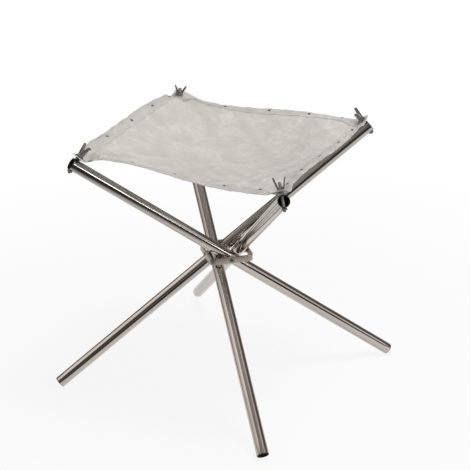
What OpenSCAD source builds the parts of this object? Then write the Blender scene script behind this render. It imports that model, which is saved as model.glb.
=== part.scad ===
// Folding fire pit: four tubes cross in a square hub ring and carry a hanging mesh bed.
// Millimetres. Z is up, the floor is z = 0 and the hub's own axis is the Z axis.
// Stored open. Leg 0 is at the ring's front side, then right, back and left by quarter turns.

/* [Show] */

/* [Legs] */
tube_d = 19;
tube_wall = 1;
// pivot to the top end
leg_above = 310;
// pivot to the foot
leg_below = 351;
// lean from upright when open, degrees
lean = 53;
// tube axis to hub axis
leg_offset = 19.3;

/* [Hub] */
strip_h = 11;
strip_t = 3;
// inside radius of the ring's corners
ring_r = 6;
spacer_d = 11;
spacer_t = 4.5;
rivet_d = 5;
rivet_head_d = 8;
rivet_head_h = 1.4;

/* [Corner fastening] */
stud_d = 5;
// stud axis to the tube's top end
stud_inset = 5.5;
stud_tail = 2.3;
stud_tip = 13;
nut_af = 8;
nut_h = 4;
low_nut_h = 2.7;
washer_d = 13;
washer_t = 1;
wing_base_d = 11;
wing_body_d = 8.8;
wing_body_h = 5.5;
ear_len = 20.5;
ear_root = 6.4;
ear_end = 5;
ear_t = 1.8;
ear_lean = 16;
// turn of each wing nut about its stud, from the tube's length
wing_turn = [100, 90, 65, 75];

/* [Mesh sheet] */
// side of the sheet laid flat
sheet_side = 353;
// sheet thickness, measured upright
sheet_t = 1.2;
// flat corner held between the washers
tab = 18;
cells = 24;
// drop of the middle
sag_mid = 40;
// for the edges from leg 0 to leg 1 and so on round: bow outwards, rise, and wave along the length
edge_bow = [1, -4, -4, 6];
edge_rise = [-1.5, -3, -5, 5];
edge_wave = [7, 4, 4, 4];
// an edge begins to curl at this share of the way out to it
curl_from = 0.72;
// distance from a stud where the sheet has bent off its flat corner
tab_fade = 28;
fold_h = 2.2;
fold_reach = 46;
hem_rivet_d = 2.6;
hem_head_d = 5;
hem_head_h = 0.9;
// hem rivets from the sheet's edge, and from the grid line beside them
hem_inset = 11;
hem_step = 4.6;

/* [Fits] */
// radial, pin in hole
run_gap = 0.05;
// between parts that rest on each other
rest_gap = 0.02;

/* [Hidden] */
$fa = 6;
$fs = 0.4;
tube_r = tube_d / 2;
hub_z = leg_below * cos(lean) + tube_r * sin(lean);
ring_in = leg_offset + tube_r + spacer_t + rest_gap;
ring_out = ring_in + strip_t;
stud_z = leg_above - stud_inset;
// stations along a stud, from the tube's axis
nut_x = tube_r + rest_gap;
low_washer_x = nut_x + nut_h + rest_gap;
sheet_x = low_washer_x + washer_t + 2 * rest_gap + sheet_t * sin(lean);
top_washer_x = sheet_x + 2 * rest_gap;
wing_x = top_washer_x + washer_t + rest_gap;

steel = [0.72, 0.71, 0.69];
dull_steel = [0.55, 0.54, 0.53];
mesh_grey = [0.68, 0.67, 0.65];
dark_steel = [0.34, 0.33, 0.32];

// A leg's own frame: z runs up the tube from the pivot, x runs along the stud, y is the pivot axis.
module in_leg(k) {
    rotate([0, 0, 90 * k])
        translate([0, -leg_offset, hub_z])
            rotate([0, -lean, 0])
                children();
}

// Along a stud: z runs out of the tube, from its axis.
module on_stud(k) {
    in_leg(k) translate([0, 0, stud_z]) rotate([0, 90, 0]) children();
}

// At a pivot: z runs out of the hub, from the tube's axis.
module at_pivot(k) {
    rotate([0, 0, 90 * k]) translate([0, -leg_offset, hub_z]) rotate([90, 0, 0]) children();
}

module round_square(half, r) {
    square([2 * (half - r), 2 * half], center = true);
    square([2 * half, 2 * (half - r)], center = true);
    for (x = [-1, 1], y = [-1, 1])
        translate([x * (half - r), y * (half - r)]) circle(r);
}

module dome(d, h) {
    ball = (d * d / 4 + h * h) / (2 * h);
    intersection() {
        translate([0, 0, h - ball]) sphere(ball);
        cylinder(d = d + 1, h = h + 1);
    }
}

module hub_ring() {
    color(dull_steel)
    difference() {
        translate([0, 0, hub_z - strip_h / 2])
            linear_extrude(strip_h)
                difference() {
                    round_square(ring_out, ring_r + strip_t);
                    round_square(ring_in, ring_r);
                }
        for (k = [0:3]) at_pivot(k) cylinder(d = rivet_d, h = 2 * ring_out);
    }
}

module pivot_rivet() {
    tail = -tube_r - rest_gap;
    seat = ring_out - leg_offset;
    translate([0, 0, tail]) cylinder(d = rivet_d, h = seat - tail);
    difference() {
        translate([0, 0, seat]) dome(rivet_head_d, rivet_head_h);
        translate([0, 0, seat + 0.6]) cylinder(d = 2.4, h = rivet_head_h);
    }
    mirror([0, 0, 1]) translate([0, 0, -tail]) dome(rivet_head_d, rivet_head_h);
}

module pivot_rivets() {
    color(dull_steel) for (k = [0:3]) at_pivot(k) pivot_rivet();
}

module pivot_spacers() {
    color(dark_steel) for (k = [0:3]) at_pivot(k)
        translate([0, 0, tube_r + rest_gap])
            difference() {
                cylinder(d = spacer_d, h = spacer_t);
                translate([0, 0, -1]) cylinder(d = rivet_d + 2 * rest_gap, h = spacer_t + 2);
            }
}

module leg_tube(k) {
    color(steel) in_leg(k)
    difference() {
        translate([0, 0, -leg_below]) cylinder(d = tube_d, h = leg_below + leg_above);
        translate([0, 0, -leg_below - 1]) cylinder(d = tube_d - 2 * tube_wall, h = leg_below + leg_above + 2);
        rotate([90, 0, 0]) cylinder(d = rivet_d + 2 * run_gap, h = 2 * tube_d, center = true);
        translate([0, 0, stud_z]) rotate([0, 90, 0]) cylinder(d = stud_d + 2 * rest_gap, h = 2 * tube_d, center = true);
    }
}

module corner_stud(k) {
    low = -nut_x - low_nut_h - stud_tail;
    high = wing_x + stud_tip;
    color(dull_steel) on_stud(k) {
        translate([0, 0, low]) cylinder(d1 = stud_d - 1, d2 = stud_d, h = 0.5);
        translate([0, 0, low + 0.5]) cylinder(d = stud_d, h = high - low - 1);
        translate([0, 0, high - 0.5]) cylinder(d1 = stud_d, d2 = stud_d - 1, h = 0.5);
    }
}

module hex_nut(h) {
    difference() {
        cylinder(d = nut_af / cos(30), h = h, $fn = 6);
        translate([0, 0, -1]) cylinder(d = stud_d + 2 * rest_gap, h = h + 2);
    }
}

module stud_nuts(k) {
    color(dull_steel) on_stud(k) {
        translate([0, 0, nut_x]) rotate([0, 0, 12]) hex_nut(nut_h);
        translate([0, 0, -nut_x - low_nut_h]) rotate([0, 0, 38]) hex_nut(low_nut_h);
    }
}

module washer() {
    difference() {
        cylinder(d = washer_d, h = washer_t);
        translate([0, 0, -1]) cylinder(d = stud_d + 2 * run_gap, h = washer_t + 2);
    }
}

module mesh_washers(k) {
    color(steel) on_stud(k) {
        translate([0, 0, low_washer_x]) washer();
        translate([0, 0, top_washer_x]) washer();
    }
}

module ear() {
    straight = ear_len - ear_end / 2;
    rotate([90, 0, 90]) translate([0, 0, -ear_t / 2]) linear_extrude(ear_t) {
        polygon([[-ear_root / 2, 0], [ear_root / 2, 0], [ear_end / 2, straight], [-ear_end / 2, straight]]);
        translate([0, straight]) circle(d = ear_end);
    }
}

module wing_nut(k) {
    color(steel) on_stud(k) translate([0, 0, wing_x]) rotate([0, 0, wing_turn[k]])
    difference() {
        union() {
            cylinder(d = wing_base_d, h = 1.4);
            cylinder(d = wing_body_d, h = wing_body_h);
            for (s = [0, 180]) rotate([0, 0, s])
                translate([wing_body_d / 2 - ear_t / 2, 0, 0.7]) rotate([0, ear_lean, 0]) ear();
        }
        translate([0, 0, -1]) cylinder(d = stud_d + 2 * run_gap, h = wing_body_h + 2);
    }
}

// The sheet is a grid of flat positions carried onto its hung form by formula.
sheet_half = sheet_side / 2;
hole_flat = sheet_half - tab / 2;
corner_out = stud_z * sin(lean) - sheet_x * cos(lean);
corner_z = hub_z + stud_z * cos(lean) + sheet_x * sin(lean);
hole_hung = sqrt((corner_out * corner_out + leg_offset * leg_offset) / 2);
sheet_turn = atan2(leg_offset, corner_out) - 45;
cell = (sheet_side - 2 * tab) / (cells - 2);

function flat_at(i) = i == 0 ? -sheet_half : i == cells ? sheet_half : -sheet_half + tab + (i - 1) * cell;
function turned(p, a) = [p[0] * cos(a) - p[1] * sin(a), p[0] * sin(a) + p[1] * cos(a)];
function ease(x) = let (c = min(1, max(0, x))) c * c * (3 - 2 * c);
function leg_of(p, q) = p < 0 ? (q < 0 ? 0 : 3) : (q < 0 ? 1 : 2);

// The hung part: sag, edges that bow and curl, and folds that spread from each corner.
function folds(p, q, k) =
    let (dp = hole_flat - abs(p), dq = hole_flat - abs(q),
         far = sqrt(dp * dp + dq * dq), side = atan2(dp - dq, dp + dq))
    fold_h * (far / fold_reach) * exp(1 - far / fold_reach) * cos(side * 7 + 55 * k);
function near_edge(x) = ease((abs(x) - curl_from) / (1.05 - curl_from));
function bowed(x) = max(0, 1 - pow(x, 4));
function edge_lift(e, x) =
    edge_rise[e] * bowed(x) + (abs(x) < 1 ? (e < 2 ? -1 : 1) * edge_wave[e] * sin(180 * x) : 0);
function hung(p, q) =
    let (u = p / hole_flat, v = q / hole_flat,
         eu = u > 0 ? 1 : 3, ev = v < 0 ? 0 : 2,
         xy = turned([u * hole_hung + sign(u) * edge_bow[eu] * bowed(v) * pow(abs(u), 3),
                      v * hole_hung + sign(v) * edge_bow[ev] * bowed(u) * pow(abs(v), 3)], sheet_turn))
    [xy[0], xy[1], corner_z - sag_mid * max(0, 1 - u * u) * max(0, 1 - v * v)
        + near_edge(v) * edge_lift(ev, u) + near_edge(u) * edge_lift(eu, v) + folds(p, q, leg_of(p, q))];

// The flat corner, square to its stud.
function held(p, q, k) =
    let (off = turned(turned([p - (p < 0 ? -1 : 1) * hole_flat, q - (q < 0 ? -1 : 1) * hole_flat], sheet_turn), -90 * k),
         xy = turned([-corner_out + off[0] * sin(lean), -leg_offset + off[1]], 90 * k))
    [xy[0], xy[1], corner_z - off[0] * cos(lean)];
function sheet_at(p, q) =
    let (away = max(abs(hole_flat - abs(p)), abs(hole_flat - abs(q))),
         w = 1 - ease((away - tab / 2 - 0.01) / (tab_fade - tab / 2)))
    w * held(p, q, leg_of(p, q)) + (1 - w) * hung(p, q);

row = cells + 1;
top_points = [for (j = [0:cells], i = [0:cells]) sheet_at(flat_at(i), flat_at(j))];
sheet_points = concat(top_points, [for (p = top_points) p - [0, 0, sheet_t]]);
half = cells / 2;
// Cells are split across the way to their nearest corner.
function split_right(i, j) = (i < half) == (j < half);
function top_pair(i, j) =
    let (a = j * row + i, b = a + 1, c = a + row + 1, d = a + row)
    split_right(i, j) ? [[a, d, b], [b, d, c]] : [[a, c, b], [a, d, c]];
function flipped(t) = [for (n = [2:-1:0]) t[n] + row * row];
sheet_faces = concat(
    [for (j = [0:cells - 1], i = [0:cells - 1]) for (t = top_pair(i, j)) t],
    [for (j = [0:cells - 1], i = [0:cells - 1]) for (t = top_pair(i, j)) flipped(t)],
    [for (i = [0:cells - 1], s = [0, 1])
        let (a = i, b = i + 1, c = b + row * row, d = a + row * row) s == 0 ? [a, b, c] : [a, c, d]],
    [for (i = [0:cells - 1], s = [0, 1])
        let (b = cells * row + i, a = b + 1, c = b + row * row, d = a + row * row) s == 0 ? [a, b, c] : [a, c, d]],
    [for (j = [0:cells - 1], s = [0, 1])
        let (b = j * row, a = b + row, c = b + row * row, d = a + row * row) s == 0 ? [a, b, c] : [a, c, d]],
    [for (j = [0:cells - 1], s = [0, 1])
        let (a = j * row + cells, b = a + row, c = b + row * row, d = a + row * row) s == 0 ? [a, b, c] : [a, c, d]]
);

// Each hem rivet sits inside one flat triangle of the edge's cells.
// [cells from the corner, towards which end of the edge it is counted]
hem_places = [[2, 1], [6, 1], [11, 1], [6, -1], [2, -1]];
function edge_flat(e, s, t) =
    e == 0 ? [s, t] : e == 1 ? [-t, s] : e == 2 ? [-s, -t] : [t, -s];
function edge_point(e, s, t) = let (f = edge_flat(e, s, t)) sheet_at(f[0], f[1]);
function hem_frame(e, place) =
    let (i = place[0], m = place[1],
         near = m * flat_at(i), far = m * flat_at(i + 1), inner = tab - sheet_half,
         p0 = edge_point(e, far, inner), p1 = edge_point(e, near, inner),
         p2 = edge_point(e, far, -sheet_half),
         n = m * cross(p1 - p0, p2 - p0))
    [p0 + (p1 - p0) * hem_step / cell + (p2 - p0) * (tab - hem_inset) / tab, n / norm(n)];

module on_sheet(frame) {
    n = frame[1];
    translate(frame[0]) rotate([0, acos(n[2]), atan2(n[1], n[0])]) children();
}

module fire_mesh() {
    color(mesh_grey)
    difference() {
        polyhedron(sheet_points, sheet_faces, convexity = 8);
        for (k = [0:3]) on_stud(k) translate([0, 0, sheet_x - 4]) cylinder(d = stud_d + 0.6, h = 8);
        for (e = [0:3], place = hem_places) on_sheet(hem_frame(e, place))
            cylinder(d = hem_rivet_d + 2 * rest_gap, h = 8, center = true);
    }
}

module hem_rivets() {
    color(dark_steel) for (e = [0:3], place = hem_places) {
        frame = hem_frame(e, place);
        depth = sheet_t * frame[1][2];
        bite = hem_head_h / 3;
        on_sheet(frame) {
            translate([0, 0, -depth - rest_gap - bite]) cylinder(d = hem_rivet_d, h = depth + 2 * (rest_gap + bite));
            translate([0, 0, rest_gap]) dome(hem_head_d, hem_head_h);
            translate([0, 0, -depth - rest_gap]) mirror([0, 0, 1]) dome(hem_head_d, hem_head_h);
        }
    }
}

module leg_tube_front() { leg_tube(0); }
module leg_tube_right() { leg_tube(1); }
module leg_tube_back() { leg_tube(2); }
module leg_tube_left() { leg_tube(3); }
module corner_stud_front() { corner_stud(0); }
module corner_stud_right() { corner_stud(1); }
module corner_stud_back() { corner_stud(2); }
module corner_stud_left() { corner_stud(3); }
module stud_nuts_front() { stud_nuts(0); }
module stud_nuts_right() { stud_nuts(1); }
module stud_nuts_back() { stud_nuts(2); }
module stud_nuts_left() { stud_nuts(3); }
module mesh_washers_front() { mesh_washers(0); }
module mesh_washers_right() { mesh_washers(1); }
module mesh_washers_back() { mesh_washers(2); }
module mesh_washers_left() { mesh_washers(3); }
module wing_nut_front() { wing_nut(0); }
module wing_nut_right() { wing_nut(1); }
module wing_nut_back() { wing_nut(2); }
module wing_nut_left() { wing_nut(3); }

hub_ring();
pivot_rivets();
pivot_spacers();
leg_tube_front();
leg_tube_right();
leg_tube_back();
leg_tube_left();
corner_stud_front();
corner_stud_right();
corner_stud_back();
corner_stud_left();
stud_nuts_front();
stud_nuts_right();
stud_nuts_back();
stud_nuts_left();
mesh_washers_front();
mesh_washers_right();
mesh_washers_back();
mesh_washers_left();
wing_nut_front();
wing_nut_right();
wing_nut_back();
wing_nut_left();
fire_mesh();
hem_rivets();
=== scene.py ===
import math

import bmesh
import bpy
import numpy as np
from mathutils import Matrix, Vector


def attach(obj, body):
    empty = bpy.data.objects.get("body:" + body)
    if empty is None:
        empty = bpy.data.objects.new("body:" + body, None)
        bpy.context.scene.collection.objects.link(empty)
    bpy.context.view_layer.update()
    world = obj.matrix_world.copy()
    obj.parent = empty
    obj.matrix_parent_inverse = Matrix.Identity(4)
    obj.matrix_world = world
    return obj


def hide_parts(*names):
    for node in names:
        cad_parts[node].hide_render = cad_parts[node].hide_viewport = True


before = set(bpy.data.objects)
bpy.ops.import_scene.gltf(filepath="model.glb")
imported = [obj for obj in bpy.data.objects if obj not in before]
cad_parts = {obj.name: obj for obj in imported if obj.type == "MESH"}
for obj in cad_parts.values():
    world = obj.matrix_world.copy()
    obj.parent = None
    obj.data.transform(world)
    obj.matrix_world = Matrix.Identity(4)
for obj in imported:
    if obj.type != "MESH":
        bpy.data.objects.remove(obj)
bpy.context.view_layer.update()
scene = bpy.context.scene
sides = ("front", "right", "back", "left")
plainWhite = (1, 1, 1)
print("frame loaded:", len(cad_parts), "nodes")


# shader maths on sockets: an expression adds the Math nodes it needs
class Sock:
    def __init__(self, tree, out=None):
        self.tree = tree
        self.out = out

    # any node: its settings come first, then the values or links of its sockets
    def node(self, kind, settings=None, values=None, out=None):
        made = self.tree.nodes.new("ShaderNode" + kind)
        for key, value in (settings or {}).items():
            setattr(made, key, value)
        for key, value in (values or {}).items():
            if isinstance(value, Sock):
                self.tree.links.new(value.out, made.inputs[key])
            else:
                made.inputs[key].default_value = value
        chosen = made.outputs[out] if out else next((o for o in made.outputs if o.enabled), None)
        return Sock(self.tree, chosen)

    def maths(self, operation, *terms):
        return self.node("Math", {"operation": operation}, dict(enumerate(terms)))

    def __add__(self, other):
        return self.maths("ADD", self, other)

    def __radd__(self, other):
        return self.maths("ADD", other, self)

    def __sub__(self, other):
        return self.maths("SUBTRACT", self, other)

    def __rsub__(self, other):
        return self.maths("SUBTRACT", other, self)

    def __mul__(self, other):
        return self.maths("MULTIPLY", self, other)

    def __rmul__(self, other):
        return self.maths("MULTIPLY", other, self)

    def __truediv__(self, other):
        return self.maths("DIVIDE", self, other)

    def __rtruediv__(self, other):
        return self.maths("DIVIDE", other, self)

    def __abs__(self):
        return self.maths("ABSOLUTE", self)

    def sine(self):
        return self.maths("SINE", self)

    def root(self):
        return self.maths("SQRT", self)

    def over(self, limit):
        return self.maths("GREATER_THAN", self, limit)

    def lower(self, other):
        return self.maths("MINIMUM", self, other)

    def upper(self, other):
        return self.maths("MAXIMUM", self, other)

    # a share of this one, the rest of the other
    def blend(self, other, share):
        return self * share + other * (1 - share)

    # smoothly from 0 at low to 1 at high
    def ease(self, low, high):
        return self.node("MapRange", {"interpolation_type": "SMOOTHSTEP"},
                         {0: self, 1: low, 2: high})

    # an amount that comes in from low to high
    def gain(self, low, high, amount):
        return self.ease(low, high) * amount

    def within(self, low, high, soft):
        return self.ease(low - soft, low + soft) * (1 - self.ease(high - soft, high + soft))

    # places on the piece, in metres
    def spot(self):
        return self.node("TexCoord", out="Object")

    def part(self, axis):
        return self.node("SeparateXYZ", None, {0: self}, axis)

    def fromAxis(self):
        x, y = self.part("X"), self.part("Y")
        return (x * x + y * y).root()

    def noise(self, scale, detail=3.0, rough=0.55, seed=None):
        values = {"Vector": self, "Scale": scale, "Detail": detail, "Roughness": rough}
        if seed is None:
            return self.node("TexNoise", {"noise_dimensions": "3D"}, values)
        return self.node("TexNoise", {"noise_dimensions": "4D"}, {**values, "W": seed})

    # noise drawn out along an axis
    def grain(self, stretch, *noise):
        drawn = self.node("VectorMath", {"operation": "MULTIPLY"}, {0: self, 1: stretch})
        return drawn.noise(*noise)

    def tint(self, dark, light):
        return self.cover((*dark, 1), light)

    # noise to colour, dark to light over its middle
    def tones(self, dark, light, low=0.3, high=0.7):
        return self.ease(low, high).tint(dark, light)

    def cover(self, under, colour):
        return self.node("Mix", {"data_type": "RGBA"}, {0: self, 6: under, 7: (*colour, 1)})

    def bump(self, strength, distance):
        return self.node("Bump", None, {"Strength": strength, "Distance": distance, "Height": self})


def newFinish(name):
    material = bpy.data.materials.new(name)
    material.use_nodes = True
    tree = material.node_tree
    return material, Sock(tree), tree.nodes["Principled BSDF"]


def feed(shader, **inputs):
    names = {"colour": "Base Color", "rough": "Roughness", "metal": "Metallic", "normal": "Normal",
             "gloss": "Specular IOR Level"}
    for key, value in inputs.items():
        socket = shader.inputs[names[key]]
        if isinstance(value, Sock):
            value.tree.links.new(value.out, socket)
        else:
            socket.default_value = value


# mesh helpers
def newPiece(name, verts, faces, finishes, sharp=32, uv=None, slotOf=None):
    mesh = bpy.data.meshes.new(name)
    mesh.from_pydata([tuple(v) for v in verts], [], faces)
    for material in finishes:
        mesh.materials.append(material)
    if slotOf is not None:
        for face, slot in zip(mesh.polygons, slotOf):
            face.material_index = slot
    if uv is not None:
        layer = mesh.uv_layers.new(name="flat")
        for loop in mesh.loops:
            layer.data[loop.index].uv = uv[loop.vertex_index]
    smooth(mesh, sharp)
    return putIn(name, mesh)


def putIn(name, data):
    obj = bpy.data.objects.new(name, data)
    scene.collection.objects.link(obj)
    return obj


def smooth(mesh, sharp):
    mesh.shade_smooth()
    if sharp:
        mesh.set_sharp_from_angle(angle=math.radians(sharp))


# joins points that lie on each other and drops faces with no width
def weld(mesh, gap=0.000002):
    shape = bmesh.new()
    shape.from_mesh(mesh)
    bmesh.ops.remove_doubles(shape, verts=shape.verts, dist=gap)
    bmesh.ops.dissolve_degenerate(shape, edges=shape.edges, dist=gap)
    shape.to_mesh(mesh)
    shape.free()


# applies the piece's modifiers to its mesh
def settle(obj, sharp):
    bpy.context.view_layer.update()
    graph = bpy.context.evaluated_depsgraph_get()
    mesh = bpy.data.meshes.new_from_object(obj.evaluated_get(graph))
    obj.modifiers.clear()
    old = obj.data
    obj.data = mesh
    mesh.name = obj.name
    bpy.data.meshes.remove(old)
    weld(mesh)
    smooth(mesh, sharp)


def cut(obj, cutters, sharp=32):
    for cutter in cutters:
        step = obj.modifiers.new("cut", "BOOLEAN")
        step.operation, step.solver, step.object = "DIFFERENCE", "EXACT", cutter
    settle(obj, sharp)
    for cutter in cutters:
        bpy.data.objects.remove(cutter)


def around(count):
    turns = [2 * math.pi * i / count for i in range(count)]
    return [(math.cos(a), math.sin(a)) for a in turns]


def arc(x, y, radius, start, end, steps):
    turns = [math.radians(start + (end - start) * i / steps) for i in range(steps + 1)]
    return [(x + radius * math.cos(a), y + radius * math.sin(a)) for a in turns]


# profile of (radius, height) pairs turned about z, counterclockwise round the material
def turned(profile, count, closed):
    verts, faces, rows = [], [], []
    for radius, height in profile:
        first = len(verts)
        if radius:
            verts += [(radius * x, radius * y, height) for x, y in around(count)]
            rows.append(list(range(first, len(verts))))
        else:
            verts.append((0, 0, height))
            rows.append([first] * count)
    pairs = list(zip(rows, rows[1:])) + ([(rows[-1], rows[0])] if closed else [])
    for low, high in pairs:
        for i in range(count):
            j = (i + 1) % count
            face = tuple(dict.fromkeys((low[i], low[j], high[j], high[i])))
            if len(face) > 2:
                faces.append(face)
    return verts, faces


def ringProfile(inner, outer, low, high, edge, stops=(), steps=4):
    loop = arc(outer - edge, low + edge, edge, -90, 0, steps)
    loop += [(outer, z) for z in stops]
    loop += arc(outer - edge, high - edge, edge, 0, 90, steps)
    loop += arc(inner + edge, high - edge, edge, 90, 180, steps)
    loop += [(inner, z) for z in reversed(stops)]
    loop += arc(inner + edge, low + edge, edge, 180, 270, steps)
    return loop


def domeProfile(radius, rise, degrees):
    return [(radius * math.cos(math.radians(a)), rise * math.sin(math.radians(a))) for a in degrees]


# faces between closed sections that follow each other round a ring
def loopFaces(sections, points):
    faces = []
    for i in range(sections):
        a, b = i * points, (i + 1) % sections * points
        faces += [(a + j, b + j, b + (j + 1) % points, a + (j + 1) % points) for j in range(points)]
    return faces


def gridFaces(rows, columns):
    wide = columns + 1
    return [(j * wide + i, j * wide + i + 1, (j + 1) * wide + i + 1, (j + 1) * wide + i)
            for j in range(rows) for i in range(columns)]


def rod(name, radius, low, high, place, count=40):
    verts, faces = turned([(0, low), (radius, low), (radius, high), (0, high)], count, False)
    obj = newPiece(name, verts, faces, [])
    obj.matrix_world = place
    return obj


def dress(obj, body, slot, *nodes):
    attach(obj, body)
    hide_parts(*nodes)


# places that the pieces share, in the frame of the stand: metres and degrees
stand = {"lean": 53, "legOffset": 0.0193, "hubHeight": 0.218824, "above": 0.310, "below": 0.351,
         "tubeRadius": 0.0095, "studInset": 0.0055, "slip": 0.00002}


def spun(axis, degrees):
    return Matrix.Rotation(math.radians(degrees), 4, axis)


def moved(x, y, z):
    return Matrix.Translation((x, y, z))


def hingePlace(k):
    return spun("Z", 90 * k) @ moved(0, -stand["legOffset"], stand["hubHeight"])


def legPlace(k):
    return hingePlace(k) @ spun("Y", -stand["lean"])


def studPlace(k):
    return legPlace(k) @ moved(0, 0, stand["above"] - stand["studInset"]) @ spun("Y", 90)


def pivotPlace(k):
    return hingePlace(k) @ spun("X", 90)


# studio: soft even light, and the softboxes and dark screens that the tubes mirror
studio = {"even": 0.30, "wall": 0.31, "room": (1, 0.94, 0.895), "aimHeight": 0.25,
          "key": {"place": (0.5, -0.2, 2.5), "size": (0.8, 0.8), "power": 36, "mirrored": False},
          "fill": {"place": (1.9, -0.9, 2.0), "size": (2.0, 2.0), "power": 8, "mirrored": False},
          "strip": {"place": (1.10, -1.52, 0.70), "size": (0.8, 0.24), "power": 2.4, "mirrored": True},
          # side of x (0 is both), run of y and of z in the direction looked, tone
          "screens": ((0, (0.70, 1.1), (-0.3, 0.42), 0.05), (0, (0.70, 1.1), (0.42, 0.75), 0.70),
                      (1, (-0.21, 0.57), (0.10, 0.71), 0.11), (1, (-0.68, -0.22), (0.20, 0.53), 0.75),
                      (1, (-0.71, -0.14), (0.74, 0.94), 0.62), (0, (-1.1, -0.78), (-0.3, 0.80), 0.17),
                      (-1, (-1.1, -0.45), (-0.3, 0.76), 0.17), (0, (-1.1, -0.60), (-0.3, 0.20), 0.02),
                      (-1, (-0.87, -0.60), (0.34, 0.60), 0.06), (-1, (-0.31, 0.67), (0.52, 0.84), 1.0),
                      (-1, (0.0, 0.64), (0.12, 0.48), 0.62)),
          "screenSoft": 0.03}


# rays that show the background: straight to the camera, mirrored or through something
def rays(start):
    camera, mirrored, through = (start.node("LightPath", out="Is " + kind + " Ray")
                                 for kind in ("Camera", "Glossy", "Transmission"))
    return (camera + mirrored + through).lower(1.0), mirrored


def makeWorld():
    world = bpy.data.worlds.new("studio")
    scene.world = world
    world.use_nodes = True
    world.node_tree.nodes.clear()
    start = Sock(world.node_tree)
    look = start.node("TexCoord", out="Generated")
    x, y, z = (look.part(axis) for axis in "XYZ")
    across = y / (1.0001 - z * z).root()  # just over 1: straight up stays finite
    soft = studio["screenSoft"]
    tone = studio["wall"]
    for side, run, rise, shade in studio["screens"]:
        there = across.within(*run, soft) * z.within(*rise, soft)
        if side:
            there = there * (x * side).over(0)
        tone = tone * (1 - there) + there * shade
    seen, mirrored = rays(start)
    room = tone.tint((0, 0, 0), studio["room"])
    white = (1 - mirrored).cover(room, plainWhite)  # mirrors see the screens before the white
    even = start.node("Background", None, {"Color": (*plainWhite, 1), "Strength": studio["even"]})
    shown = start.node("Background", None, {"Color": white, "Strength": 1.0})
    mixed = start.node("MixShader", None, {0: seen, 1: even, 2: shown})
    start.node("OutputWorld", None, {"Surface": mixed})


# floor: pale paper, white to the camera but for the shadow; mirrors see it only near the stand
ground = {"size": 14.0, "drop": 0.0004, "tone": ((0.71,) * 3, (0.73,) * 3), "noise": (900, 4),
          "rough": 0.9, "gloss": 0.1, "glow": 0.89, "glowEnd": (0.35, 1.1),
          "paper": (0.74, 0.734, 0.722), "beyond": (0.04,) * 3, "paperEnd": (-0.85, -0.22),
          "paperFar": (1.0, 1.4)}


def makeFloor():
    material, start, shader = newFinish("paperFloor")
    tree = material.node_tree
    spot = start.spot()
    feed(shader, colour=spot.noise(*ground["noise"]).tint(*ground["tone"]),
         rough=ground["rough"], gloss=ground["gloss"])
    seen, mirrored = rays(start)
    away = spot.fromAxis()
    paper = (spot.part("X") + spot.part("Y")).ease(*ground["paperEnd"])
    paper = paper * (1 - away.ease(*ground["paperFar"]))
    white = (1 - mirrored).cover(paper.tint(ground["beyond"], ground["paper"]), plainWhite)
    white = start.node("Emission", None, {"Color": white, "Strength": 1.0})
    glow = ground["glow"] + away.ease(*ground["glowEnd"]) * (1 - ground["glow"])
    lit = Sock(tree, shader.outputs[0])
    mixed = start.node("MixShader", None, {0: seen * glow.upper(mirrored), 1: lit, 2: white})
    tree.links.new(mixed.out, tree.nodes["Material Output"].inputs["Surface"])
    half, low = ground["size"] / 2, -ground["drop"]
    corners = [(-half, -half, low), (half, -half, low), (half, half, low), (-half, half, low)]
    floor = newPiece("floor", corners, [(0, 1, 2, 3)], [material], None)


def makeLamp(name, lamp):
    light = bpy.data.lights.new(name, "AREA")
    light.shape = "RECTANGLE"
    (light.size, light.size_y), light.energy = lamp["size"], lamp["power"]
    obj = putIn(name, light)
    aim = Vector((0, 0, studio["aimHeight"])) - Vector(lamp["place"])
    obj.matrix_world = moved(*lamp["place"]) @ aim.to_track_quat("-Z", "Y").to_matrix().to_4x4()
    obj.visible_glossy = lamp["mirrored"]
    obj.visible_camera = False


# the photograph's view: 14.8 degrees to the left of the front, 25 degrees above
view = {"azimuth": -14.83, "height": 24.94, "away": 2.265, "focal": 1395.0, "image": 470,
        "hubAt": (226.2, 251.2), "roll": -0.41, "sensor": 36, "clip": (0.05, 60)}


def swung(a, b, angle):
    return a * math.cos(angle) + b * math.sin(angle), b * math.cos(angle) - a * math.sin(angle)


def makeCamera():
    az, up = math.radians(view["azimuth"]), math.radians(view["height"])
    ahead = Vector((-math.sin(az) * math.cos(up), math.cos(az) * math.cos(up), -math.sin(up)))
    right = Vector((math.cos(az), math.sin(az), 0))
    top = right.cross(ahead)
    spot = Vector((0, 0, stand["hubHeight"])) - ahead * view["away"]
    pan, tilt = (math.atan2(at - view["image"] / 2, view["focal"]) for at in view["hubAt"])
    ahead, right = swung(ahead, right, -pan)
    ahead, top = swung(ahead, top, tilt)
    right, top = swung(right, top, math.radians(view["roll"]))
    lens = bpy.data.cameras.new("camera")
    lens.sensor_fit, lens.sensor_width = "HORIZONTAL", view["sensor"]
    lens.lens = view["focal"] / view["image"] * view["sensor"]
    lens.clip_start, lens.clip_end = view["clip"]
    obj = putIn("camera", lens)
    obj.matrix_world = moved(*spot) @ Matrix((right, top, -ahead)).transposed().to_4x4()
    scene.camera = obj


scene.view_settings.view_transform = "Standard"
makeWorld()
makeFloor()
for lampName in ("key", "fill", "strip"):
    makeLamp(lampName + "Lamp", studio[lampName])
makeCamera()
print("studio and camera set")

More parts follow.
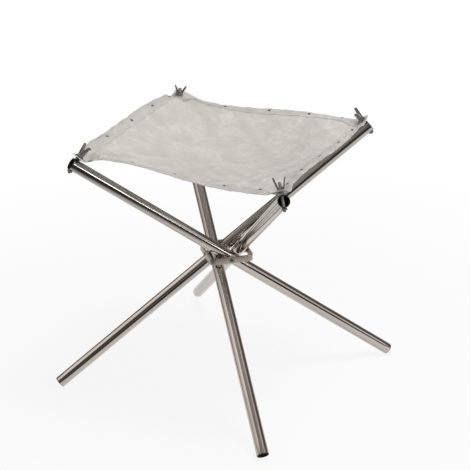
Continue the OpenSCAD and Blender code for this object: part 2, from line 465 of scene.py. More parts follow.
# leg tubes: drawn and polished, cut square, the wall's edges just broken
tube = {"bore": 0.0085, "edge": 0.00035, "boreShare": 0.6, "count": 112, "hole": 0.00254, "cutter": 0.02,
        # rows of points: above the foot, by the pivot, on the upper half, by the stud
        "footRow": 0.02, "pivotRows": (-0.012, -0.0055, 0.0055, 0.012), "upperRow": 0.15,
        "studRows": (-0.0045, 0.0035),
        "tone": ((0.45, 0.412, 0.384), (0.72, 0.665, 0.626)), "contrast": (0.33, 0.63),
        # the ends' tone: painted shade, the cut ends drawn near black to widen the dark of the open mouth
        "rimPaintedShade": (0.11, 0.105, 0.10), "rim": (0.0005, 0.0011),
        "rough": 0.05, "smudgeRough": (0.45, 0.75, 0.06), "lineRough": (0.5, 0.8, 0.04), "rimRough": 0.12,
        "bump": (0.07, 0.00006),
        # stretch, scale, detail and roughness: drawing lines and bands along it, polishing marks round it
        "lines": ((1, 1, 0.004), 900, 3, 0.55), "bands": ((1, 1, 0.03), 190, 2, 0.5),
        "smudge": ((1, 1, 0.45), 42, 4, 0.6), "rings": ((0.03, 0.03, 1), 1800, 2, 0.5), "seeds": 40,
        "lineShare": 0.45, "lineHigh": 0.9,
        # the bore's tones: painted shade, the inside of the tube drawn almost black
        "borePaintedShade": ((0.05, 0.045, 0.04), (0.12, 0.11, 0.10)), "boreLines": ((1, 1, 0.02), 700, 4),
        "dust": (160, 5, 0.65), "boreRough": 0.42, "dustRough": 0.3, "boreMetal": 0.8,
        "boreBump": (0.25, 0.0001)}


def tubeFinish():
    material, start, shader = newFinish("drawnTube")
    spot = start.spot()
    seed = start.node("ObjectInfo", out="Random") * tube["seeds"]
    z = spot.part("Z")
    lines, bands, smudge, rings = (spot.grain(*tube[key], seed)
                                   for key in ("lines", "bands", "smudge", "rings"))
    # the last millimetre at each end painted near black, which is painted shade at the open mouth, and made
    # rougher
    near, far = tube["rim"]
    ends = z.ease(stand["above"] - far, stand["above"] - near)
    ends = ends.upper(1 - z.ease(near - stand["below"], far - stand["below"]))
    colour = lines.blend(bands, tube["lineShare"]).tones(*tube["tone"], *tube["contrast"])
    rough = tube["rough"] + smudge.gain(*tube["smudgeRough"]) + lines.gain(*tube["lineRough"])
    rough = rough + ends * tube["rimRough"]
    feed(shader, colour=ends.cover(colour, tube["rimPaintedShade"]), rough=rough, metal=1.0,
         normal=lines.blend(rings, tube["lineHigh"]).bump(*tube["bump"]))
    return material


# the bore painted almost black, which is painted shade inside the tube, varied by drawing lines and dust
def boreFinish():
    material, start, shader = newFinish("tubeBore")
    spot = start.spot()
    lines, dust = spot.grain(*tube["boreLines"]), spot.noise(*tube["dust"])
    feed(shader, colour=lines.blend(dust, 0.5).tones(*tube["borePaintedShade"]),
         rough=tube["boreRough"] + dust * tube["dustRough"], metal=tube["boreMetal"],
         normal=(lines + dust).bump(*tube["boreBump"]))
    return material


def makeTubes():
    low, high = -stand["below"], stand["above"]
    hole = high - stand["studInset"]
    stops = [low + tube["footRow"], *tube["pivotRows"], tube["upperRow"]]
    stops += [hole + row for row in tube["studRows"]]
    profile = ringProfile(tube["bore"], stand["tubeRadius"], low, high, tube["edge"], stops)
    verts, faces = turned(profile, tube["count"], True)
    deep = tube["bore"] + tube["edge"] * tube["boreShare"]
    slotOf = [1 if all(math.hypot(*verts[v][:2]) < deep for v in face) else 0 for face in faces]
    finishes = [tubeFinish(), boreFinish()]
    reach = (-tube["cutter"], tube["cutter"])
    for k, side in enumerate(sides):
        obj = newPiece("legTube." + side, verts, faces, finishes, slotOf=slotOf)
        cut(obj, [rod("studHole", tube["hole"], *reach, moved(0, 0, hole) @ spun("Y", 90)),
                  rod("pivotHole", tube["hole"], *reach, spun("X", 90))])
        obj.matrix_world = legPlace(k)
        dress(obj, "leg_" + side, "polished_tube", "leg_tube_" + side)


makeTubes()
print("leg tubes made")

# hub ring: one flat strip bent round four corners, its ends welded at the back
ring = {"inner": 0.03332, "thick": 0.003, "high": 0.011, "corner": 0.006, "edge": 0.0006,
        "sideSteps": 10, "cornerSteps": 12, "edgeSteps": 4, "sharp": 40,
        "weldSide": 2, "weldHalf": 0.0016, "weldRise": 0.00022, "weldLift": 0.6, "liftFrom": 0.8,
        "weldSteps": 4, "hole": 0.00252, "cutter": 0.01, "cutterTurn": 4,
        "tone": ((0.48, 0.436, 0.402), (0.60, 0.546, 0.504)), "contrast": (0.32, 0.68),
        "edgeTone": (0.67, 0.62, 0.58), "wornBand": (0.0009, 0.0002), "wornPatch": (0.32, 0.62),
        "grain": ((0.03, 0.03, 1), 2400, 4, 0.6), "patch": (85, 4, 0.6), "grainShare": 0.6,
        "rough": 0.34, "patchRough": (0.4, 0.7, 0.12), "wornRough": 0.1, "patchHigh": 0.4,
        "bump": (0.16, 0.0001)}


def stripFinish():
    material, start, shader = newFinish("satinStrip")
    spot = start.spot()
    z = abs(spot.part("Z") - stand["hubHeight"])
    grain, patch = spot.grain(*ring["grain"]), spot.noise(*ring["patch"])
    worn = z.ease(*(ring["high"] / 2 - band for band in ring["wornBand"])) * patch.ease(*ring["wornPatch"])
    colour = grain.blend(patch, ring["grainShare"]).tones(*ring["tone"], *ring["contrast"])
    feed(shader, colour=worn.cover(colour, ring["edgeTone"]), metal=1.0,
         rough=ring["rough"] + patch.gain(*ring["patchRough"]) - worn * ring["wornRough"],
         normal=(grain + patch * ring["patchHigh"]).bump(*ring["bump"]))
    return material


# middle line of the strip: place, outward turn, and distance from the weld on its side
def stripPath(half, bend):
    flat = half - bend
    path = []
    for k in range(4):
        quarter, turn, n = spun("Z", 90 * k), 90 * k - 90, ring["sideSteps"]
        steps = [i / n for i in range(1 - n, n)]
        if k == ring["weldSide"]:  # close steps round the weld
            w = ring["weldSteps"]
            steps = sorted(set(steps) | {ring["weldHalf"] * i / w / flat for i in range(-w - 1, w + 2)})
        for step in steps:
            spot = quarter @ Vector((step * flat, -half, 0))
            path.append((spot, math.radians(turn), step * flat if k == ring["weldSide"] else None))
        corner = quarter @ Vector((flat, -flat, 0))
        for i in range(ring["cornerSteps"] + 1):
            a = math.radians(turn + 90 * i / ring["cornerSteps"])
            path.append((corner + Vector((math.cos(a), math.sin(a), 0)) * bend, a, None))
    return path


def makeRing():
    t, h, e, steps = ring["thick"] / 2, ring["high"] / 2, ring["edge"], ring["edgeSteps"]
    half, liftFrom = ring["inner"] + t, h - e * ring["liftFrom"]
    path = stripPath(half, ring["corner"] + t)
    section = arc(t - e, h - e, e, 0, 90, steps) + arc(e - t, h - e, e, 90, 180, steps)
    section += arc(e - t, e - h, e, 180, 270, steps) + arc(t - e, e - h, e, 270, 360, steps)
    verts = []
    for spot, a, away in path:
        rise = 0.0
        if away is not None and abs(away) < ring["weldHalf"]:
            rise = ring["weldRise"] * (1 - (away / ring["weldHalf"]) ** 2) ** 0.5
        grow = 1 + rise / t
        for out, up in section:
            lift = rise * math.copysign(ring["weldLift"], up) if abs(up) > liftFrom else 0
            verts.append((spot.x + math.cos(a) * out * grow, spot.y + math.sin(a) * out * grow,
                          stand["hubHeight"] + up + lift))
    obj = newPiece("hubRing", verts, loopFaces(len(path), len(section)), [stripFinish()], ring["sharp"])
    middle = moved(0, 0, half - stand["legOffset"]) @ spun("Z", ring["cutterTurn"])
    cut(obj, [rod("rivetHole", ring["hole"], -ring["cutter"], ring["cutter"], pivotPlace(k) @ middle)
              for k in range(4)], ring["sharp"])
    dress(obj, "hub", "strip_steel", "hub_ring")


makeRing()
print("hub ring made")

# turned steel: the finish that rivets, spacers, washers and nuts share
lathe = {"marks": 9000, "speck": (900, 4, 0.65), "patch": (260, 3), "markHigh": 0.35,
         "wornBand": (0.0009, 0.0001), "wornPatch": (0.35, 0.65), "bright": 1.45, "brightest": 0.8,
         # the pit's tone: painted shade, the punched pit in a rivet's head drawn near black
         "pitPaintedShade": (0.035, 0.032, 0.03), "pitSoft": (0.85, 1.15),
         "speckRough": (0.4, 0.75, 0.16), "wornRough": 0.08, "bump": (0.14, 0.00006), "sharp": 40}
# pivot rivets: domed at both ends, with a punched pit in the outer head
rivet = {"shank": 0.0025, "head": 0.004, "rise": 0.0014, "lip": 0.0003, "dome": range(0, 73, 12),
         "count": 40,
         # radius and height over the seat, from the pit's rim to its middle
         "pit": ((0.0012, 0.001302), (0.001032, 0.0008), (0.0006, 0.00062), (0, 0.0006)),
         "tone": ((0.27, 0.25, 0.228), (0.37, 0.342, 0.315)), "rough": 0.36}
spacer = {"bore": 0.00254, "radius": 0.0055, "thick": 0.0045, "edge": 0.00022, "count": 56,
          "tone": ((0.30, 0.28, 0.26), (0.42, 0.40, 0.37)), "rough": 0.32}


def turnedFinish(name, piece, facing, pit=0):
    material, start, shader = newFinish(name)
    spot = start.spot()
    out = spot.fromAxis()
    marks = (out * lathe["marks"]).sine() * 0.5 + 0.5
    speck, patch = spot.noise(*lathe["speck"]), spot.noise(*lathe["patch"])
    worn = out.ease(*(facing - band for band in lathe["wornBand"])) * patch.ease(*lathe["wornPatch"])
    colour = speck.blend(patch, 0.5).tones(*piece["tone"])
    bright = tuple(min(lathe["brightest"], c * lathe["bright"]) for c in piece["tone"][1])
    colour = worn.cover(colour, bright)
    # the punched pit painted near black: painted shade in the hollow
    if pit:
        colour = (1 - out.ease(*(pit * soft for soft in lathe["pitSoft"]))).cover(colour, lathe["pitPaintedShade"])
    feed(shader, colour=colour, metal=1.0,
         rough=piece["rough"] + speck.gain(*lathe["speckRough"]) - worn * lathe["wornRough"],
         normal=marks.blend(speck, lathe["markHigh"]).bump(*lathe["bump"]))
    return material


def makeRivets():
    low = stand["tubeRadius"] + stand["slip"]
    tail, seat = -low, ring["inner"] + ring["thick"] - stand["legOffset"]
    lip, shank = rivet["head"] - rivet["lip"], rivet["shank"]
    dome = domeProfile(rivet["head"], rivet["rise"], rivet["dome"])
    profile = [(0, tail - rivet["rise"])] + [(r, tail - h) for r, h in reversed(dome)]
    profile += [(lip, tail), (shank, tail), (shank, seat), (lip, seat)]
    profile += [(r, seat + h) for r, h in (*dome, *rivet["pit"])]
    finish = turnedFinish("rivetSteel", rivet, rivet["head"], rivet["pit"][0][0])
    first = newPiece("pivotRivet.front", *turned(profile, rivet["count"], False), [finish], lathe["sharp"])
    profile = ringProfile(spacer["bore"], spacer["radius"], low, low + spacer["thick"], spacer["edge"])
    finish = turnedFinish("spacerSteel", spacer, spacer["radius"])
    firstSpacer = newPiece("pivotSpacer.front", *turned(profile, spacer["count"], True), [finish],
                           lathe["sharp"])
    for k, side in enumerate(sides):
        for base, name, node, slot in ((first, "pivotRivet.", "pivot_rivets", "dark_steel"),
                                       (firstSpacer, "pivotSpacer.", "pivot_spacers", "stud_steel")):
            obj = base if k == 0 else putIn(name + side, base.data)
            obj.matrix_world = pivotPlace(k)
            dress(obj, "hub", slot, node)


makeRivets()
print("pivot rivets and spacers made")

# corner studs: rolled thread from end to end, its points cut at a slope
stud = {"radius": 0.0025, "pitch": 0.0008, "depth": 0.00046, "low": -0.01452, "high": 0.029598, "count": 30,
        "rowsPerTurn": 7, "crest": 0.12, "flank": 0.72, "pointIn": 0.0007, "pointSlope": 0.9, "sharp": 50,
        "tone": ((0.64, 0.63, 0.61), (0.80, 0.79, 0.77)), "speck": (1100, 4, 0.6),
        # grooves: painted shade, the thread's hollows drawn darker
        "groovePaintedShade": (0.24, 0.235, 0.225), "grooveShare": 0.8, "grooveTop": 0.0001,
        "metal": 0.55, "rough": 0.36, "grooveRough": 0.25, "speckRough": 0.12, "bump": (0.10, 0.00005)}
washer = {"bore": 0.00256, "radius": 0.0065, "thick": 0.001, "edge": 0.00025, "count": 64,
          "tone": ((0.36, 0.35, 0.335), (0.52, 0.505, 0.485)), "rough": 0.30}
nut = {"flats": 0.008, "bore": 0.00252, "high": 0.004, "low": 0.0027, "turns": (12, 38), "count": 72,
       "shoulder": 0.975, "chamfer": 30, "lead": 0.0003, "wornAt": 1.15, "sharp": 25,
       "tone": ((0.27, 0.262, 0.25), (0.42, 0.41, 0.395)), "rough": 0.32}
# heights along a stud, from the middle of its tube
stations = {"nut": 0.00952, "lowWasher": 0.01354, "highWasher": 0.015578, "wing": 0.016598}


def studFinish():
    material, start, shader = newFinish("rolledThread")
    spot = start.spot()
    out = spot.fromAxis()
    speck = spot.noise(*stud["speck"])
    crest = out.ease(stud["radius"] - stud["depth"], stud["radius"] - stud["grooveTop"])
    # the thread's grooves painted darker, which is painted shade in its hollows; they are rougher as well
    deep = (1 - crest) * stud["grooveShare"]
    colour = deep.cover(speck.tones(*stud["tone"]), stud["groovePaintedShade"])
    feed(shader, colour=colour, metal=stud["metal"],
         rough=stud["rough"] + deep * stud["grooveRough"] + speck * stud["speckRough"],
         normal=speck.bump(*stud["bump"]))
    return material


def threadMesh():
    count, pitch, long = stud["count"], stud["pitch"], stud["high"] - stud["low"]
    rows = int(round(long / pitch * stud["rowsPerTurn"]))
    verts, faces = [(0, 0, stud["low"])], []
    for i in range(rows + 1):
        z = stud["low"] + long * i / rows
        free = min(z - stud["low"], stud["high"] - z)
        limit = stud["radius"] - stud["pointIn"] + free * stud["pointSlope"]
        for j, (x, y) in enumerate(around(count)):
            phase = (z / pitch - j / count) % 1
            groove = min(1.0, max(0.0, (abs(phase - 0.5) * 2 - stud["crest"]) / stud["flank"]))
            radius = min(stud["radius"] - stud["depth"] * groove, limit)
            verts.append((radius * x, radius * y, z))
    verts.append((0, 0, stud["high"]))
    last = 1 + rows * count
    for j in range(count):
        n = (j + 1) % count
        faces.append((0, 1 + n, 1 + j))
        for low in range(1, last, count):
            faces.append((low + j, low + n, low + count + n, low + count + j))
        faces.append((last + j, last + n, len(verts) - 1))
    return verts, faces


def hexNut(high, turn):
    bore, lead, half = nut["bore"], nut["lead"], nut["flats"] / 2
    shoulder, slope = half * nut["shoulder"], math.tan(math.radians(nut["chamfer"]))
    verts = []
    for i in range(nut["count"]):
        a = 2 * math.pi * i / nut["count"]
        reach = half / math.cos((a + math.pi / 6) % (math.pi / 3) - math.pi / 6)
        drop = (reach - shoulder) * slope
        loop = [(bore, lead), (bore + lead, 0), (shoulder, 0), (reach, drop),
                (reach, high - drop), (shoulder, high), (bore + lead, high), (bore, high - lead)]
        a += math.radians(turn)
        verts += [(r * math.cos(a), r * math.sin(a), z) for r, z in loop]
    return verts, loopFaces(nut["count"], len(loop))


def makeStuds():
    first = newPiece("cornerStud.front", *threadMesh(), [studFinish()], stud["sharp"])
    washerFinish = turnedFinish("washerSteel", washer, washer["radius"])
    nutFinish = turnedFinish("nutSteel", nut, nut["flats"] / 2 * nut["wornAt"])
    upper = newPiece("studNut.front", *hexNut(nut["high"], nut["turns"][0]), [nutFinish], nut["sharp"])
    lower = newPiece("lowNut.front", *hexNut(nut["low"], nut["turns"][1]), [nutFinish], nut["sharp"])
    flat = ringProfile(washer["bore"], washer["radius"], 0, washer["thick"], washer["edge"])
    disc = newPiece("lowWasher.front", *turned(flat, washer["count"], True), [washerFinish], lathe["sharp"])
    places = ((first, "cornerStud.", 0, "corner_stud_"),
              (upper, "studNut.", stations["nut"], "stud_nuts_"),
              (lower, "lowNut.", -stations["nut"] - nut["low"], "stud_nuts_"),
              (disc, "lowWasher.", stations["lowWasher"], "mesh_washers_"),
              (disc, "highWasher.", stations["highWasher"], "mesh_washers_"))
    for k, side in enumerate(sides):
        for base, name, up, node in places:
            obj = base if base.name == name + side else putIn(name + side, base.data)
            obj.matrix_world = studPlace(k) @ moved(0, 0, up)
            dress(obj, "leg_" + side, "stud_steel", node + side)


makeStuds()
print("studs, nuts and washers made")

# wing nuts: a round body with two long upright ears, fused and softened like a pressed piece
wing = {"baseRadius": 0.0055, "baseHigh": 0.0014, "bodyRadius": 0.0044, "topRadius": 0.0040, "high": 0.0055,
        "edge": 0.0003, "shoulder": 0.0004, "bore": 0.00254, "cutter": (-0.002, 0.008), "count": 48,
        "earLong": 0.0205, "earRoot": 0.0064, "earEnd": 0.005, "earThick": 0.0016, "earSteps": 14,
        "earLean": 16, "earAt": (0.0035, 0.0007), "turns": (100, 90, 65, 75),
        "voxel": 0.00034, "soften": (0.5, 5), "sharp": 50,
        "tone": ((0.24, 0.232, 0.222), (0.38, 0.37, 0.355)), "speckShare": 0.55,
        "wornTone": (0.60, 0.585, 0.565), "wornEdge": (0.515, 0.56), "wornPatch": (0.3, 0.6),
        "speck": (620, 5, 0.65), "patch": (140, 3),
        "rough": 0.26, "speckRough": (0.35, 0.7, 0.2), "wornRough": 0.1, "bump": (0.22, 0.00012)}


def wingFinish():
    material, start, shader = newFinish("pressedWing")
    spot = start.spot()
    edge = start.node("NewGeometry", out="Pointiness")
    speck, patch = spot.noise(*wing["speck"]), spot.noise(*wing["patch"])
    worn = edge.ease(*wing["wornEdge"]) * patch.ease(*wing["wornPatch"])
    colour = speck.blend(patch, wing["speckShare"]).tones(*wing["tone"])
    feed(shader, colour=worn.cover(colour, wing["wornTone"]), metal=1.0,
         rough=wing["rough"] + speck.gain(*wing["speckRough"]) - worn * wing["wornRough"],
         normal=speck.bump(*wing["bump"]))
    return material


def earMesh():
    root, end = wing["earRoot"] / 2, wing["earEnd"] / 2
    top = wing["earLong"] - end
    tip = arc(0, top, end, 0, 180, wing["earSteps"])[1:-1]
    outline = [(-root, 0), (root, 0), (end, top)] + tip + [(-end, top)]
    t, n = wing["earThick"] / 2, len(outline)
    verts = [(-t, y, z) for y, z in outline] + [(t, y, z) for y, z in outline]
    faces = [tuple(range(n))[::-1], tuple(range(n, 2 * n))]
    faces += [(i, (i + 1) % n, n + (i + 1) % n, n + i) for i in range(n)]
    return verts, faces


def makeWings():
    base, edge, (earOut, earUp) = wing["baseRadius"], wing["edge"], wing["earAt"]
    body = [(0, 0), (base - edge, 0), (base, edge), (base, wing["baseHigh"] - wing["shoulder"]),
            (wing["bodyRadius"] + edge, wing["baseHigh"]), (wing["topRadius"], wing["high"]),
            (0, wing["high"])]
    shells = [(turned(body, wing["count"], False), Matrix())]
    for turn in (0, 180):
        shells.append((earMesh(), spun("Z", turn) @ moved(earOut, 0, earUp) @ spun("Y", wing["earLean"])))
    shape = bmesh.new()
    for (verts, faces), place in shells:
        new = [shape.verts.new(place @ Vector(v)) for v in verts]
        for face in faces:
            shape.faces.new([new[v] for v in face])
    bmesh.ops.recalc_face_normals(shape, faces=shape.faces)
    mesh = bpy.data.meshes.new("wingNut.front")
    shape.to_mesh(mesh)
    shape.free()
    mesh.materials.append(wingFinish())
    first = putIn("wingNut.front", mesh)
    skin = first.modifiers.new("fuse", "REMESH")
    skin.mode, skin.voxel_size = "VOXEL", wing["voxel"]
    soft = first.modifiers.new("soften", "SMOOTH")
    soft.factor, soft.iterations = wing["soften"]
    settle(first, None)
    cut(first, [rod("wingBore", wing["bore"], *wing["cutter"], Matrix())], wing["sharp"])
    for k, side in enumerate(sides):
        obj = first if k == 0 else putIn("wingNut." + side, first.data)
        obj.matrix_world = studPlace(k) @ moved(0, 0, stations["wing"]) @ spun("Z", wing["turns"][k])
        dress(obj, "wing_" + side, "wing_steel", "wing_nut_" + side)


makeWings()
print("wing nuts made")

# fire mesh: a square of woven wire cloth hung from its corners, its hem folded over and riveted
cloth = {"side": 0.353, "cells": 150, "trim": 0.0003, "wire": 0.0004, "layer": 0.00098, "sharp": 45,
         # from the middle of the tube up the stud to the cloth's upper face
         "reach": 0.015538, "tab": 0.018, "tabFade": 0.028, "tabMargin": 0.00001,
         "hole": 0.0027, "holeShare": 0.9, "sag": 0.040,
         # edges from front to right, right to back, back to left, left to front
         "bow": (0.001, -0.004, -0.004, 0.006), "rise": (-0.0015, -0.003, -0.005, 0.005),
         "wave": (0.007, 0.004, 0.004, 0.004), "curl": (0.72, 1.05),
         "foldHigh": 0.0022, "foldReach": 0.046, "folds": 7, "foldTurn": 55,
         # start and end on the flat cloth, height, half width
         "wrinkles": (
             ((-0.176, -0.117), (-0.150, -0.042), 0.0026, 0.006),
             ((-0.172, -0.047), (-0.134, -0.005), 0.0024, 0.006),
             ((0.084, -0.172), (0.094, -0.057), 0.0026, 0.005),
             ((0.094, -0.060), (0.126, 0.028), 0.0014, 0.006),
             ((0.052, -0.168), (0.064, -0.085), 0.0013, 0.005),
             ((0.114, -0.166), (0.119, -0.096), 0.0014, 0.005),
             ((-0.118, -0.166), (-0.128, -0.118), 0.0014, 0.005),
             ((-0.060, -0.135), (0.020, -0.120), 0.0012, 0.007),
             ((0.168, -0.080), (0.112, -0.030), 0.0015, 0.006),
             ((0.166, 0.060), (0.100, 0.078), 0.0014, 0.006),
             ((0.060, 0.166), (0.072, 0.110), 0.0013, 0.006),
             ((-0.080, 0.168), (-0.060, 0.100), 0.0014, 0.007)),
         "wrinkleStart": (0.2, 0.3), "wrinkleEnd": (0.3, 0.2),
         # ripples: turns along, sway, turns of the sway and its start
         "ripple": 0.00035, "rippleP": (310, 2.1, 95, 0), "rippleQ": (270, 1.7, 120, 1),
         "rippleSlant": (175, 2)}


def turnedBy(x, y, degrees):
    c, s = math.cos(math.radians(degrees)), math.sin(math.radians(degrees))
    return c * x - s * y, s * x + c * y


def easeIn(x):
    c = np.clip(x, 0, 1)
    return c * c * (3 - 2 * c)


def bowed(x):
    return np.maximum(0, 1 - x ** 4)


def nearEdge(x):
    low, high = cloth["curl"]
    return easeIn((abs(x) - low) / (high - low))


def edgeLift(edge, x):
    rise, wave = np.array(cloth["rise"]), np.array(cloth["wave"])
    way = np.where(edge < 2, -1, 1)
    return rise[edge] * bowed(x) + np.where(abs(x) < 1, way * wave[edge] * np.sin(math.pi * x), 0)


def swayed(x, y, turns, sway, swayTurns, start):
    return np.sin(x * turns + sway * np.sin(y * swayTurns + start))


def wrinkled(p, q):
    slantTurns, slantStart = cloth["rippleSlant"]
    height = swayed(p, q, *cloth["rippleP"]) * swayed(q, p, *cloth["rippleQ"])
    height = (height + np.sin((p + q) * slantTurns + slantStart)) * cloth["ripple"]
    (startRun, startAt), (endRun, endAt) = cloth["wrinkleStart"], cloth["wrinkleEnd"]
    for (ax, ay), (bx, by), high, half in cloth["wrinkles"]:
        long = math.hypot(bx - ax, by - ay)
        along = ((p - ax) * (bx - ax) + (q - ay) * (by - ay)) / long ** 2
        off = ((p - ax) * (by - ay) - (q - ay) * (bx - ax)) / long
        ends = easeIn(along / startRun + startAt) * easeIn((1 - along) / endRun + endAt)
        height = height + high * np.exp(-(off / half) ** 2) * ends
    return height


# the cloth's upper face at flat places p, q: held square to the studs at its corners, hung between them
def clothAt(p, q):
    lean, reach, tab = math.radians(stand["lean"]), cloth["reach"], cloth["tab"] / 2
    holeFlat = cloth["side"] / 2 - tab
    top = stand["above"] - stand["studInset"]
    cornerOut = top * math.sin(lean) - reach * math.cos(lean)
    cornerHigh = stand["hubHeight"] + top * math.cos(lean) + reach * math.sin(lean)
    holeHung = math.hypot(cornerOut, stand["legOffset"]) / math.sqrt(2)
    flatTurn = 225  # of the front corner, laid flat
    turn = math.degrees(math.atan2(-stand["legOffset"], -cornerOut)) % 360 - flatTurn
    u, v = p / holeFlat, q / holeFlat
    signU, signV = np.where(u < 0, -1, 1), np.where(v < 0, -1, 1)
    edgeU, edgeV = np.where(u > 0, 1, 3), np.where(v < 0, 0, 2)
    leg = np.where(p < 0, np.where(q < 0, 0, 3), np.where(q < 0, 1, 2))
    dp, dq = holeFlat - abs(p), holeFlat - abs(q)
    far, slant = np.hypot(dp, dq) / cloth["foldReach"], np.degrees(np.arctan2(dp - dq, dp + dq))
    folds = cloth["foldHigh"] * far * np.exp(1 - far)
    folds = folds * np.cos(np.radians(slant * cloth["folds"] + cloth["foldTurn"] * leg))
    bow = np.array(cloth["bow"])
    x = u * holeHung + signU * bow[edgeU] * bowed(v) * abs(u) ** 3
    y = v * holeHung + signV * bow[edgeV] * bowed(u) * abs(v) ** 3
    x, y = turnedBy(x, y, turn)
    z = cornerHigh - cloth["sag"] * np.maximum(0, 1 - u * u) * np.maximum(0, 1 - v * v) + folds
    z = z + nearEdge(v) * edgeLift(edgeV, u) + nearEdge(u) * edgeLift(edgeU, v)
    hung = np.stack([x, y, z + wrinkled(p, q)], -1)
    held = np.zeros_like(hung)
    for k in range(4):
        cp, cq = (1 if k in (1, 2) else -1) * holeFlat, (1 if k in (2, 3) else -1) * holeFlat
        ox, oy = turnedBy(*turnedBy(p - cp, q - cq, turn), -90 * k)
        hx, hy = turnedBy(-cornerOut + ox * math.sin(lean), -stand["legOffset"] + oy, 90 * k)
        spot = np.stack([hx, hy, cornerHigh - ox * math.cos(lean)], -1)
        held = np.where((leg == k)[..., None], spot, held)
    away = np.maximum(abs(dp), abs(dq))
    grip = 1 - easeIn((away - tab - cloth["tabMargin"]) / (cloth["tabFade"] - tab))
    return held * grip[..., None] + hung * (1 - grip[..., None])


def clothNormal(p, q, step=0.0004):
    along = clothAt(p + step, q) - clothAt(p - step, q)
    cross = clothAt(p, q + step) - clothAt(p, q - step)
    normal = np.cross(along, cross)
    return normal / np.linalg.norm(normal, axis=-1, keepdims=True)


# plain weave, with slubs along both wires and the creases that rolling it up leaves
weave = {"pitch": 0.00115, "overlap": (-0.06, 0.06), "slub": (700, 2), "thin": 0.02, "patch": (28, 4, 0.6),
         # noise, then the width of its crease
         "creases": ((((1, 1, 1), 15, 2, 0.5), 0.035), (((0.5, 1, 1), 26, 2, 0.5, 3.0), 0.03)),
         "creasePatch": (0.40, 0.60), "creaseShare": 0.35, "creaseHigh": 9.0,
         "tone": ((0.595, 0.576, 0.543), (0.745, 0.722, 0.684)), "patchShare": 0.55,
         # the gaps' tone: painted shade between the wires
         "gapPaintedShade": (0.40, 0.386, 0.362), "gap": (0.05, 0.55), "gapShare": 0.75,
         "bright": 1.08, "brightest": 0.92, "metal": 0.15, "gloss": 0.4,
         "rough": 0.46, "gapRough": 0.2, "patchRough": (0.4, 0.7, 0.08),
         "slubHigh": 0.3, "bump": (0.35, 0.00018)}


# shade darkens the whole finish: painted shade, used for the folded hem
def wovenFinish(name, shade):
    material, start, shader = newFinish(name)
    flat = start.node("UVMap", {"uv_map": "flat"})
    turns = math.pi / weave["pitch"]
    warp, weft = (flat.part("X") * turns).sine(), (flat.part("Y") * turns).sine()
    top = (warp * weft).ease(*weave["overlap"])  # which wire lies over
    wire = abs(warp) * top + abs(weft) * (1 - top)
    patch = flat.noise(*weave["patch"])
    first, second = (1 - abs(flat.grain(*noise) - 0.5).ease(0, width) for noise, width in weave["creases"])
    crease = first.upper(second) * patch.ease(*weave["creasePatch"])
    thin = weave["thin"]
    slub = flat.grain((1, thin, 1), *weave["slub"]).blend(flat.grain((thin, 1, 1), *weave["slub"]), 0.5)
    dark, light, gapPaintedShade = (tuple(c * shade for c in tone) for tone in (*weave["tone"], weave["gapPaintedShade"]))
    bright = tuple(min(weave["brightest"], c * weave["bright"]) for c in light)
    colour = patch.blend(slub, weave["patchShare"]).tones(dark, light)
    # the gaps between the wires painted darker, which is painted shade under the weave; they are rougher as
    # well
    gap = 1 - wire.ease(*weave["gap"])
    colour = (gap * weave["gapShare"]).cover(colour, gapPaintedShade)
    colour = (crease * weave["creaseShare"]).cover(colour, bright)
    feed(shader, colour=colour, metal=weave["metal"], gloss=weave["gloss"],
         rough=weave["rough"] + gap * weave["gapRough"] + patch.gain(*weave["patchRough"]),
         normal=(wire + slub * weave["slubHigh"] + crease * weave["creaseHigh"]).bump(*weave["bump"]))
    return material


def thicken(obj):
    weld(obj.data)
    wall = obj.modifiers.new("wire", "SOLIDIFY")
    wall.thickness, wall.offset = cloth["wire"], 0
    settle(obj, cloth["sharp"])


# how far the sheet and its folded hem lie under the upper face
def layerDepths():
    half = cloth["wire"] / 2
    return cloth["layer"] - half - stand["slip"], half + stand["slip"]


# opens the stud holes in a grid of flat places and rounds their rims
def openHoles(p, q, faces):
    hole, radius = cloth["side"] / 2 - cloth["tab"] / 2, cloth["hole"]
    dp, dq = abs(p) - hole, abs(q) - hole
    far = np.hypot(dp, dq)
    keep, gone = [], set()
    for face in faces:
        middle = np.hypot(dp[list(face)].mean(), dq[list(face)].mean())
        if middle > radius * cloth["holeShare"]:
            keep.append(face)
        else:
            gone.update(face)
    for v in gone & {v for face in keep for v in face}:
        p[v] = math.copysign(hole + dp[v] * radius / far[v], p[v])
        q[v] = math.copysign(hole + dq[v] * radius / far[v], q[v])
    return keep


# the points that faces use, and the faces on those points alone
def usedOnly(faces, first=0):
    used = sorted({v for face in faces for v in face})
    index = {v: first + i for i, v in enumerate(used)}
    return used, [tuple(index[v] for v in face) for face in faces]


def makeCloth():
    n, edge = cloth["cells"], cloth["side"] / 2 - cloth["trim"]
    line = np.linspace(-edge, edge, n + 1)
    q, p = (g.ravel().copy() for g in np.meshgrid(line, line, indexing="ij"))
    faces = openHoles(p, q, gridFaces(n, n))
    spots = clothAt(p, q) - clothNormal(p, q) * layerDepths()[0]
    used, faces = usedOnly(faces)
    obj = newPiece("fireMesh", spots[used], faces, [wovenFinish("wovenWire", 1.0)], None,
                   np.stack([p, q], -1)[used])
    thicken(obj)
    return obj


# hem: the edge turned back over the sheet, a little loose between its rivets
fold = {"wide": 0.020, "start": 0.0004, "rows": 10, "columns": 120, "bend": range(20, 181, 20),
        # shade: the hem's woven finish drawn 7 percent darker, painted shade on the folded layer
        "shade": 0.93,
        # loose edge: two waves along it with their shift from edge to edge
        "loose": 0.0003, "looseFrom": 0.55, "looseEnd": 0.03, "waves": ((310, 2.1), (127, 1))}


# a place by one edge of the flat cloth: s along the edge, inset from it
def byEdge(edge, s, inset):
    t = inset - cloth["side"] / 2
    return ((s, t), (-t, s), (-s, -t), (t, -s))[edge]


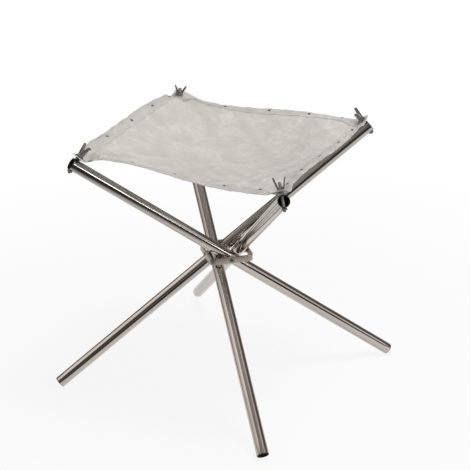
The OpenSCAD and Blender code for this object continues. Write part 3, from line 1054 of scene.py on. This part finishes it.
def makeHem():
    half, start, wide, rows = cloth["side"] / 2, fold["start"], fold["wide"], fold["rows"]
    low, high = layerDepths()
    radius, middle = (low - high) / 2, (low + high) / 2
    depths = [(start, low)]  # in from the edge, down from the upper face
    depths += [(radius * (1 - math.sin(math.radians(a))), middle + radius * math.cos(math.radians(a)))
               for a in fold["bend"]]
    depths += [(start + (wide - start) * i / rows, high) for i in range(1, rows + 1)]
    t, down = (np.repeat(side, fold["columns"] + 1) for side in zip(*depths))
    s = np.tile(np.linspace(-1, 1, fold["columns"] + 1), len(depths)) * (half - t)
    verts, faces, flats = [], [], []
    for edge in range(4):
        p, q = (g.copy() for g in byEdge(edge, s, t))
        new = openHoles(p, q, gridFaces(len(depths) - 1, fold["columns"]))
        loose = sum(np.sin(s * turns + edge * shift) * 0.5 for turns, shift in fold["waves"])
        lift = np.maximum(0, t / wide - fold["looseFrom"]) * loose * fold["loose"]
        lift = lift * (abs(s) < half - fold["looseEnd"])
        spots = clothAt(p, q) - clothNormal(p, q) * (down - np.maximum(lift, 0))[:, None]
        used, new = usedOnly(new, len(verts))
        verts += [tuple(v) for v in spots[used]]
        flats += [(float(a), float(b)) for a, b in zip(p[used], q[used])]
        faces += new
    obj = newPiece("meshHem", verts, faces, [wovenFinish("wovenHem", fold["shade"])], None, flats)
    thicken(obj)
    return obj


# hem rivets: small domes on both faces
hemRivet = {"radius": 0.0025, "rise": 0.0009, "neck": 0.9, "tuck": 0.00005, "dome": range(0, 76, 15),
            "count": 24, "inset": 0.011, "along": (-0.1343, -0.0766, -0.0046, 0.0766, 0.1343), "sharp": 40,
            "tone": ((0.16, 0.155, 0.145), (0.30, 0.29, 0.275)), "speck": (1400, 4), "patch": (220, 3),
            "rough": 0.32, "speckRough": 0.2, "bump": (0.15, 0.00006)}


def hemRivetFinish():
    material, start, shader = newFinish("hemRivetSteel")
    spot = start.spot()
    speck, patch = spot.noise(*hemRivet["speck"]), spot.noise(*hemRivet["patch"])
    feed(shader, colour=speck.blend(patch, 0.5).tones(*hemRivet["tone"]),
         metal=1.0, rough=hemRivet["rough"] + speck * hemRivet["speckRough"],
         normal=speck.bump(*hemRivet["bump"]))
    return material


def makeHemRivets():
    rise, thick, tuck = hemRivet["rise"], cloth["layer"], hemRivet["tuck"]
    neck = hemRivet["radius"] * hemRivet["neck"]
    dome = domeProfile(hemRivet["radius"], rise, hemRivet["dome"])
    profile = [(0, -thick - rise)] + [(r, -thick - h) for r, h in reversed(dome)]
    profile += [(neck, -thick + tuck), (neck, -tuck)] + dome + [(0, rise)]
    base, baseFaces = turned(profile, hemRivet["count"], False)
    verts, faces = [], []
    for edge in range(4):
        for along in hemRivet["along"]:
            p, q = (np.array([g]) for g in byEdge(edge, along, hemRivet["inset"]))
            turn = Vector(clothNormal(p, q)[0]).to_track_quat("Z", "X").to_matrix().to_4x4()
            place = moved(*clothAt(p, q)[0]) @ turn
            first = len(verts)
            verts += [place @ Vector(v) for v in base]
            faces += [tuple(v + first for v in face) for face in baseFaces]
    return newPiece("hemRivets", verts, faces, [hemRivetFinish()], hemRivet["sharp"])


mesh = makeCloth()
hem = makeHem()
hemRivets = makeHemRivets()
dress(mesh, "mesh", "woven_mesh", "fire_mesh")
dress(hem, "mesh", "woven_mesh", "fire_mesh")
dress(hemRivets, "mesh", "dark_steel", "hem_rivets")
print("fire mesh made")
